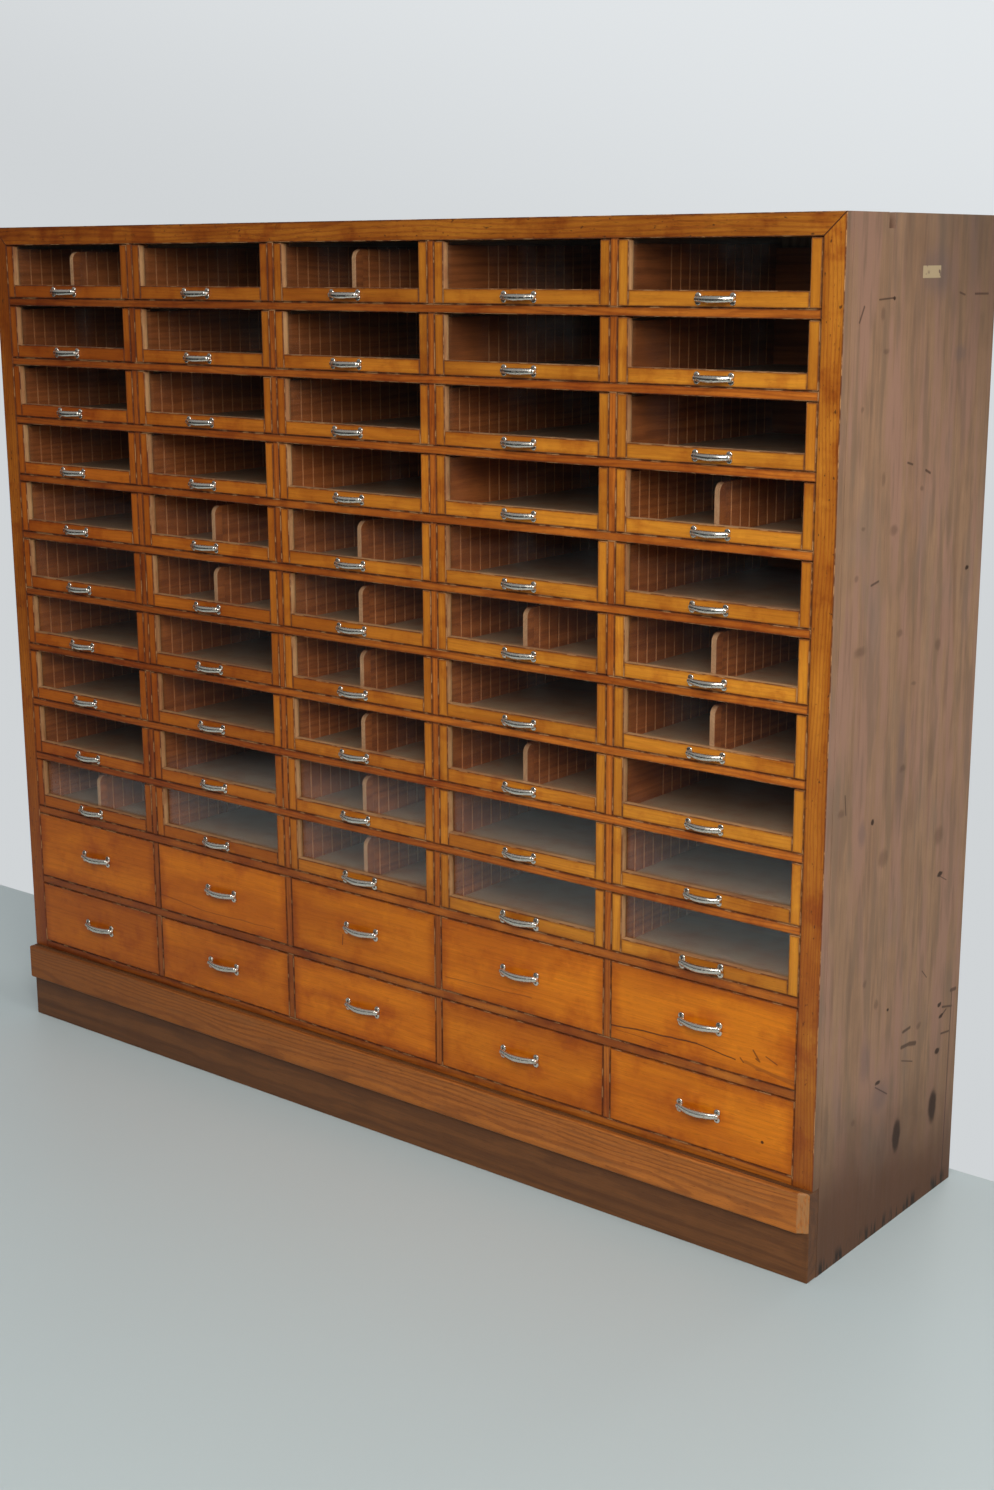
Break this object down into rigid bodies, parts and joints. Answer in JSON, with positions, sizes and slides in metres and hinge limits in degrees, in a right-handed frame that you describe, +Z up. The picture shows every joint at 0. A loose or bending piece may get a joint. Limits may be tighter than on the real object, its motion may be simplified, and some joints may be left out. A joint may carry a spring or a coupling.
{
  "type": "haberdashery cabinet",
  "caption": "Floor-standing wooden haberdashery cabinet with rows of glass-fronted drawers over wooden drawers, bow handles, a framed front and a plinth.",
  "frame": {"origin": "middle of the footprint at floor level, at the bottom centre of the whole box", "axes": "+Z up, +X along the width to the right seen from the front, drawers open towards -Y"},
  "size_m": [2.03, 0.533, 1.75],
  "materials": {
    "case_side": "matt, weathered",
    "case_inside": "matt, unfinished",
    "front_frame": "varnished, satin",
    "plinth_wood": "dark stained, worn",
    "moulding_oak": "worn satin",
    "drawer_wood": "varnished, satin",
    "drawer_inside": "matt, dusty",
    "glass_pane": "clear, dusty",
    "nickel": "worn nickel plate"
  },
  "bodies": {
    "case": {"side_panel_left": "case_side", "side_panel_right": "case_side", "top_board": "case_inside", "bottom_board": "case_inside", "back_boards": "case_inside", "face_frame": "front_frame", "partitions": "case_inside", "drawer_runners": "case_inside", "plinth_board": "plinth_wood", "plinth_moulding": "moulding_oak"},
    "drawer_c1_r01": {"drawer_c1_r01": "drawer_wood"},
    "drawer_c1_r02": {"drawer_c1_r02": "drawer_wood"},
    "drawer_c1_r03": {"drawer_c1_r03": "drawer_wood"},
    "drawer_c1_r04": {"drawer_c1_r04": "drawer_wood"},
    "drawer_c1_r05": {"drawer_c1_r05": "drawer_wood"},
    "drawer_c1_r06": {"drawer_c1_r06": "drawer_wood"},
    "drawer_c1_r07": {"drawer_c1_r07": "drawer_wood"},
    "drawer_c1_r08": {"drawer_c1_r08": "drawer_wood"},
    "drawer_pair_c1_r09_r10": {"drawer_pair_c1_r09_r10": "drawer_wood"},
    "drawer_pair_c1_r11_r12": {"drawer_pair_c1_r11_r12": "drawer_wood"},
    "drawer_c2_r01": {"drawer_c2_r01": "drawer_wood"},
    "drawer_c2_r02": {"drawer_c2_r02": "drawer_wood"},
    "drawer_c2_r03": {"drawer_c2_r03": "drawer_wood"},
    "drawer_c2_r04": {"drawer_c2_r04": "drawer_wood"},
    "drawer_c2_r05": {"drawer_c2_r05": "drawer_wood"},
    "drawer_c2_r06": {"drawer_c2_r06": "drawer_wood"},
    "drawer_c2_r07": {"drawer_c2_r07": "drawer_wood"},
    "drawer_c2_r08": {"drawer_c2_r08": "drawer_wood"},
    "drawer_pair_c2_r09_r10": {"drawer_pair_c2_r09_r10": "drawer_wood"},
    "drawer_pair_c2_r11_r12": {"drawer_pair_c2_r11_r12": "drawer_wood"},
    "drawer_c3_r01": {"drawer_c3_r01": "drawer_wood"},
    "drawer_c3_r02": {"drawer_c3_r02": "drawer_wood"},
    "drawer_c3_r03": {"drawer_c3_r03": "drawer_wood"},
    "drawer_c3_r04": {"drawer_c3_r04": "drawer_wood"},
    "drawer_c3_r05": {"drawer_c3_r05": "drawer_wood"},
    "drawer_c3_r06": {"drawer_c3_r06": "drawer_wood"},
    "drawer_c3_r07": {"drawer_c3_r07": "drawer_wood"},
    "drawer_c3_r08": {"drawer_c3_r08": "drawer_wood"},
    "drawer_pair_c3_r09_r10": {"drawer_pair_c3_r09_r10": "drawer_wood"},
    "drawer_pair_c3_r11_r12": {"drawer_pair_c3_r11_r12": "drawer_wood"},
    "drawer_c4_r01": {"drawer_c4_r01": "drawer_wood"},
    "drawer_c4_r02": {"drawer_c4_r02": "drawer_wood"},
    "drawer_c4_r03": {"drawer_c4_r03": "drawer_wood"},
    "drawer_c4_r04": {"drawer_c4_r04": "drawer_wood"},
    "drawer_c4_r05": {"drawer_c4_r05": "drawer_wood"},
    "drawer_c4_r06": {"drawer_c4_r06": "drawer_wood"},
    "drawer_c4_r07": {"drawer_c4_r07": "drawer_wood"},
    "drawer_c4_r08": {"drawer_c4_r08": "drawer_wood"},
    "drawer_pair_c4_r09_r10": {"drawer_pair_c4_r09_r10": "drawer_wood"},
    "drawer_pair_c4_r11_r12": {"drawer_pair_c4_r11_r12": "drawer_wood"},
    "drawer_c5_r01": {"drawer_c5_r01": "drawer_wood"},
    "drawer_c5_r02": {"drawer_c5_r02": "drawer_wood"},
    "drawer_c5_r03": {"drawer_c5_r03": "drawer_wood"},
    "drawer_c5_r04": {"drawer_c5_r04": "drawer_wood"},
    "drawer_c5_r05": {"drawer_c5_r05": "drawer_wood"},
    "drawer_c5_r06": {"drawer_c5_r06": "drawer_wood"},
    "drawer_c5_r07": {"drawer_c5_r07": "drawer_wood"},
    "drawer_c5_r08": {"drawer_c5_r08": "drawer_wood"},
    "drawer_pair_c5_r09_r10": {"drawer_pair_c5_r09_r10": "drawer_wood"},
    "drawer_pair_c5_r11_r12": {"drawer_pair_c5_r11_r12": "drawer_wood"}
  },
  "joints": [
    {"name": "slide_c1_r01", "type": "slide", "parent": "case", "child": "drawer_c1_r01", "axis": [0, -1, 0], "range_m": [0, 0.38]},
    {"name": "slide_c1_r02", "type": "slide", "parent": "case", "child": "drawer_c1_r02", "axis": [0, -1, 0], "range_m": [0, 0.38]},
    {"name": "slide_c1_r03", "type": "slide", "parent": "case", "child": "drawer_c1_r03", "axis": [0, -1, 0], "range_m": [0, 0.38]},
    {"name": "slide_c1_r04", "type": "slide", "parent": "case", "child": "drawer_c1_r04", "axis": [0, -1, 0], "range_m": [0, 0.38]},
    {"name": "slide_c1_r05", "type": "slide", "parent": "case", "child": "drawer_c1_r05", "axis": [0, -1, 0], "range_m": [0, 0.38]},
    {"name": "slide_c1_r06", "type": "slide", "parent": "case", "child": "drawer_c1_r06", "axis": [0, -1, 0], "range_m": [0, 0.38]},
    {"name": "slide_c1_r07", "type": "slide", "parent": "case", "child": "drawer_c1_r07", "axis": [0, -1, 0], "range_m": [0, 0.38]},
    {"name": "slide_c1_r08", "type": "slide", "parent": "case", "child": "drawer_c1_r08", "axis": [0, -1, 0], "range_m": [0, 0.38]},
    {"name": "slide_pair_c1_r09_r10", "type": "slide", "parent": "case", "child": "drawer_pair_c1_r09_r10", "axis": [0, -1, 0], "range_m": [0, 0.38]},
    {"name": "slide_pair_c1_r11_r12", "type": "slide", "parent": "case", "child": "drawer_pair_c1_r11_r12", "axis": [0, -1, 0], "range_m": [0, 0.38]},
    {"name": "slide_c2_r01", "type": "slide", "parent": "case", "child": "drawer_c2_r01", "axis": [0, -1, 0], "range_m": [0, 0.38]},
    {"name": "slide_c2_r02", "type": "slide", "parent": "case", "child": "drawer_c2_r02", "axis": [0, -1, 0], "range_m": [0, 0.38]},
    {"name": "slide_c2_r03", "type": "slide", "parent": "case", "child": "drawer_c2_r03", "axis": [0, -1, 0], "range_m": [0, 0.38]},
    {"name": "slide_c2_r04", "type": "slide", "parent": "case", "child": "drawer_c2_r04", "axis": [0, -1, 0], "range_m": [0, 0.38]},
    {"name": "slide_c2_r05", "type": "slide", "parent": "case", "child": "drawer_c2_r05", "axis": [0, -1, 0], "range_m": [0, 0.38]},
    {"name": "slide_c2_r06", "type": "slide", "parent": "case", "child": "drawer_c2_r06", "axis": [0, -1, 0], "range_m": [0, 0.38]},
    {"name": "slide_c2_r07", "type": "slide", "parent": "case", "child": "drawer_c2_r07", "axis": [0, -1, 0], "range_m": [0, 0.38]},
    {"name": "slide_c2_r08", "type": "slide", "parent": "case", "child": "drawer_c2_r08", "axis": [0, -1, 0], "range_m": [0, 0.38]},
    {"name": "slide_pair_c2_r09_r10", "type": "slide", "parent": "case", "child": "drawer_pair_c2_r09_r10", "axis": [0, -1, 0], "range_m": [0, 0.38]},
    {"name": "slide_pair_c2_r11_r12", "type": "slide", "parent": "case", "child": "drawer_pair_c2_r11_r12", "axis": [0, -1, 0], "range_m": [0, 0.38]},
    {"name": "slide_c3_r01", "type": "slide", "parent": "case", "child": "drawer_c3_r01", "axis": [0, -1, 0], "range_m": [0, 0.38]},
    {"name": "slide_c3_r02", "type": "slide", "parent": "case", "child": "drawer_c3_r02", "axis": [0, -1, 0], "range_m": [0, 0.38]},
    {"name": "slide_c3_r03", "type": "slide", "parent": "case", "child": "drawer_c3_r03", "axis": [0, -1, 0], "range_m": [0, 0.38]},
    {"name": "slide_c3_r04", "type": "slide", "parent": "case", "child": "drawer_c3_r04", "axis": [0, -1, 0], "range_m": [0, 0.38]},
    {"name": "slide_c3_r05", "type": "slide", "parent": "case", "child": "drawer_c3_r05", "axis": [0, -1, 0], "range_m": [0, 0.38]},
    {"name": "slide_c3_r06", "type": "slide", "parent": "case", "child": "drawer_c3_r06", "axis": [0, -1, 0], "range_m": [0, 0.38]},
    {"name": "slide_c3_r07", "type": "slide", "parent": "case", "child": "drawer_c3_r07", "axis": [0, -1, 0], "range_m": [0, 0.38]},
    {"name": "slide_c3_r08", "type": "slide", "parent": "case", "child": "drawer_c3_r08", "axis": [0, -1, 0], "range_m": [0, 0.38]},
    {"name": "slide_pair_c3_r09_r10", "type": "slide", "parent": "case", "child": "drawer_pair_c3_r09_r10", "axis": [0, -1, 0], "range_m": [0, 0.38]},
    {"name": "slide_pair_c3_r11_r12", "type": "slide", "parent": "case", "child": "drawer_pair_c3_r11_r12", "axis": [0, -1, 0], "range_m": [0, 0.38]},
    {"name": "slide_c4_r01", "type": "slide", "parent": "case", "child": "drawer_c4_r01", "axis": [0, -1, 0], "range_m": [0, 0.38]},
    {"name": "slide_c4_r02", "type": "slide", "parent": "case", "child": "drawer_c4_r02", "axis": [0, -1, 0], "range_m": [0, 0.38]},
    {"name": "slide_c4_r03", "type": "slide", "parent": "case", "child": "drawer_c4_r03", "axis": [0, -1, 0], "range_m": [0, 0.38]},
    {"name": "slide_c4_r04", "type": "slide", "parent": "case", "child": "drawer_c4_r04", "axis": [0, -1, 0], "range_m": [0, 0.38]},
    {"name": "slide_c4_r05", "type": "slide", "parent": "case", "child": "drawer_c4_r05", "axis": [0, -1, 0], "range_m": [0, 0.38]},
    {"name": "slide_c4_r06", "type": "slide", "parent": "case", "child": "drawer_c4_r06", "axis": [0, -1, 0], "range_m": [0, 0.38]},
    {"name": "slide_c4_r07", "type": "slide", "parent": "case", "child": "drawer_c4_r07", "axis": [0, -1, 0], "range_m": [0, 0.38]},
    {"name": "slide_c4_r08", "type": "slide", "parent": "case", "child": "drawer_c4_r08", "axis": [0, -1, 0], "range_m": [0, 0.38]},
    {"name": "slide_pair_c4_r09_r10", "type": "slide", "parent": "case", "child": "drawer_pair_c4_r09_r10", "axis": [0, -1, 0], "range_m": [0, 0.38]},
    {"name": "slide_pair_c4_r11_r12", "type": "slide", "parent": "case", "child": "drawer_pair_c4_r11_r12", "axis": [0, -1, 0], "range_m": [0, 0.38]},
    {"name": "slide_c5_r01", "type": "slide", "parent": "case", "child": "drawer_c5_r01", "axis": [0, -1, 0], "range_m": [0, 0.38]},
    {"name": "slide_c5_r02", "type": "slide", "parent": "case", "child": "drawer_c5_r02", "axis": [0, -1, 0], "range_m": [0, 0.38]},
    {"name": "slide_c5_r03", "type": "slide", "parent": "case", "child": "drawer_c5_r03", "axis": [0, -1, 0], "range_m": [0, 0.38]},
    {"name": "slide_c5_r04", "type": "slide", "parent": "case", "child": "drawer_c5_r04", "axis": [0, -1, 0], "range_m": [0, 0.38]},
    {"name": "slide_c5_r05", "type": "slide", "parent": "case", "child": "drawer_c5_r05", "axis": [0, -1, 0], "range_m": [0, 0.38]},
    {"name": "slide_c5_r06", "type": "slide", "parent": "case", "child": "drawer_c5_r06", "axis": [0, -1, 0], "range_m": [0, 0.38]},
    {"name": "slide_c5_r07", "type": "slide", "parent": "case", "child": "drawer_c5_r07", "axis": [0, -1, 0], "range_m": [0, 0.38]},
    {"name": "slide_c5_r08", "type": "slide", "parent": "case", "child": "drawer_c5_r08", "axis": [0, -1, 0], "range_m": [0, 0.38]},
    {"name": "slide_pair_c5_r09_r10", "type": "slide", "parent": "case", "child": "drawer_pair_c5_r09_r10", "axis": [0, -1, 0], "range_m": [0, 0.38]},
    {"name": "slide_pair_c5_r11_r12", "type": "slide", "parent": "case", "child": "drawer_pair_c5_r11_r12", "axis": [0, -1, 0], "range_m": [0, 0.38]}
  ]
}
